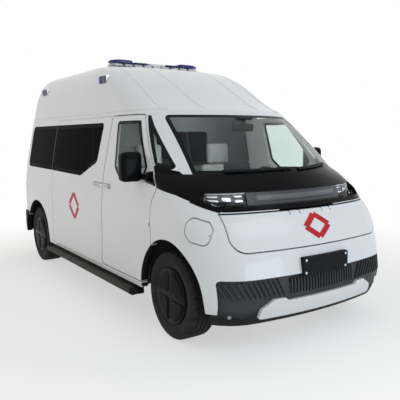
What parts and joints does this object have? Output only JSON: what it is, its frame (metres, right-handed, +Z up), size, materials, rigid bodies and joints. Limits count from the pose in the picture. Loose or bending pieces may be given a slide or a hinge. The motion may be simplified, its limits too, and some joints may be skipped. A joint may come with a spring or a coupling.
{
  "type": "ambulance van",
  "caption": "Compact high-roof electric ambulance van with hinged front and rear doors, steered front wheels, a lifting nose flap, a roof light bar and side steps",
  "frame": {"origin": "on the ground under the middle of the overall box", "axes": "+X forward, +Y to the vehicle's left, +Z up"},
  "size_m": [4.6752, 2.31, 2.4359],
  "materials": {
    "paint_white": "gloss paint",
    "clear_glass": "tinted clear",
    "dark_glass": "privacy dark",
    "dark_plastic": "grained",
    "gloss_black": "gloss",
    "lamp_lens": "clear",
    "lamp_grey": "satin",
    "red_lens": "gloss",
    "blue_lens": "gloss",
    "step_bronze": "anodised",
    "underbody": "matt",
    "case_metal": "cast",
    "cast_black": "painted",
    "seat_cloth": "woven",
    "dash_plastic": "grained",
    "panel_grey": "satin",
    "tyre": "matt",
    "wheel_cover": "satin"
  },
  "bodies": {
    "body": {"body_shell": "paint_white", "high_roof": "paint_white", "sliding_door": "paint_white", "front_wings": "paint_white", "front_bumper": "paint_white", "bumper_lip": "paint_white", "quarter_glass": "clear_glass", "windscreen": "clear_glass", "side_glass": "dark_glass", "bumper_grille": "dark_plastic", "plate_bracket": "dark_plastic", "rear_bumper": "dark_plastic", "wipers": "dark_plastic", "light_bar_base": "dark_plastic", "wheel_liners": "dark_plastic", "nose_panel": "gloss_black", "headlamps": "lamp_lens", "lamp_bar": "lamp_grey", "tail_lamps": "red_lens", "light_bar_domes": "blue_lens", "light_bar_lens": "lamp_lens", "roof_beacons": "blue_lens", "running_boards": "step_bronze", "floor_pan": "underbody", "battery_pack": "case_metal", "drive_motor": "case_metal", "front_suspension": "cast_black", "rear_axle": "cast_black", "front_seats": "seat_cloth", "dashboard": "dash_plastic", "steering_wheel": "dash_plastic", "partition": "panel_grey"},
    "front_door_right": {"front_door_right": "paint_white", "front_door_glass_right": "clear_glass", "mirror_right": "dark_plastic"},
    "front_door_left": {"front_door_left": "paint_white", "front_door_glass_left": "clear_glass", "mirror_left": "dark_plastic"},
    "rear_door_right": {"rear_door_right": "paint_white", "rear_door_glass_right": "dark_glass"},
    "rear_door_left": {"rear_door_left": "paint_white", "rear_door_glass_left": "dark_glass"},
    "bonnet": {"bonnet": "paint_white"},
    "charge_flap": {"charge_flap": "paint_white"},
    "knuckle_right": {"knuckle_right": "cast_black"},
    "knuckle_left": {"knuckle_left": "cast_black"},
    "wheel_front_right": {"tyre_front_right": "tyre", "wheel_front_right": "wheel_cover"},
    "wheel_front_left": {"tyre_front_left": "tyre", "wheel_front_left": "wheel_cover"},
    "wheel_rear_right": {"tyre_rear_right": "tyre", "wheel_rear_right": "wheel_cover"},
    "wheel_rear_left": {"tyre_rear_left": "tyre", "wheel_rear_left": "wheel_cover"}
  },
  "joints": [
    {"name": "front_door_right_swing", "type": "hinge", "parent": "body", "child": "front_door_right", "pos_m": [1.3295, -0.981, 0.88], "axis": [0, 0, 1], "range_deg": [0, 70]},
    {"name": "rear_door_right_swing", "type": "hinge", "parent": "body", "child": "rear_door_right", "pos_m": [-2.3115, -0.8, 0.64], "axis": [0, 0, 1], "range_deg": [0, 90]},
    {"name": "steer_right", "type": "hinge", "parent": "body", "child": "knuckle_right", "pos_m": [1.5975, -0.77, 0.347], "axis": [0, 0, 1], "range_deg": [-33, 33]},
    {"name": "wheel_front_right_spin", "type": "hinge", "parent": "knuckle_right", "child": "wheel_front_right", "pos_m": [1.5975, -0.8515, 0.347], "axis": [0, 1, 0], "continuous": true},
    {"name": "wheel_rear_right_spin", "type": "hinge", "parent": "body", "child": "wheel_rear_right", "pos_m": [-1.7025, -0.8515, 0.347], "axis": [0, 1, 0], "continuous": true},
    {"name": "front_door_left_swing", "type": "hinge", "parent": "body", "child": "front_door_left", "pos_m": [1.3295, 0.981, 0.88], "axis": [0, 0, -1], "range_deg": [0, 70]},
    {"name": "rear_door_left_swing", "type": "hinge", "parent": "body", "child": "rear_door_left", "pos_m": [-2.3115, 0.8, 0.64], "axis": [0, 0, -1], "range_deg": [0, 90]},
    {"name": "steer_left", "type": "hinge", "parent": "body", "child": "knuckle_left", "pos_m": [1.5975, 0.77, 0.347], "axis": [0, 0, 1], "range_deg": [-33, 33]},
    {"name": "wheel_front_left_spin", "type": "hinge", "parent": "knuckle_left", "child": "wheel_front_left", "pos_m": [1.5975, 0.8515, 0.347], "axis": [0, 1, 0], "continuous": true},
    {"name": "wheel_rear_left_spin", "type": "hinge", "parent": "body", "child": "wheel_rear_left", "pos_m": [-1.7025, 0.8515, 0.347], "axis": [0, 1, 0], "continuous": true},
    {"name": "bonnet_lift", "type": "hinge", "parent": "body", "child": "bonnet", "pos_m": [2.1385, 0, 1.01], "axis": [0, -1, 0], "range_deg": [0, 60]},
    {"name": "charge_flap_swing", "type": "hinge", "parent": "body", "child": "charge_flap", "pos_m": [2.0315, -0.877, 0.882], "axis": [0, 0.3633, 0.9317], "range_deg": [0, 90]}
  ],
  "couplings": [
    {"joint": "steer_left", "follows": "steer_right", "ratio": 1}
  ]
}
